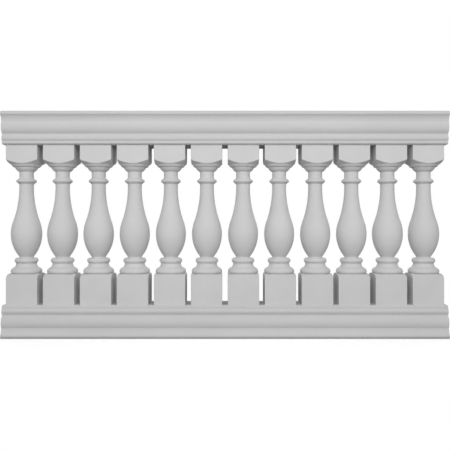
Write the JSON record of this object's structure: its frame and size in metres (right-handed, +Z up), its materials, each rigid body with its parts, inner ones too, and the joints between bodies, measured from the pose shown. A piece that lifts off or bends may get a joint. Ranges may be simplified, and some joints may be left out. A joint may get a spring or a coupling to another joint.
{
  "type": "balustrade section",
  "caption": "Straight balustrade section: a row of turned vase balusters with square blocks, between two moulded rails of cast stone, with plain-cut ends.",
  "frame": {"origin": "middle of the underside of the bottom rail", "axes": "+X along the section, +Y through it from the front seen in the picture to the back, +Z up"},
  "size_m": [1.8, 0.194, 0.914],
  "materials": {
    "cast_stone": "matte, fine cast face"
  },
  "bodies": {
    "root": {"bottom_rail": "cast_stone", "baluster_01": "cast_stone", "baluster_02": "cast_stone", "baluster_03": "cast_stone", "baluster_04": "cast_stone", "baluster_05": "cast_stone", "baluster_06": "cast_stone", "baluster_07": "cast_stone", "baluster_08": "cast_stone", "baluster_09": "cast_stone", "baluster_10": "cast_stone", "baluster_11": "cast_stone", "baluster_12": "cast_stone", "top_rail": "cast_stone"}
  },
  "joints": []
}
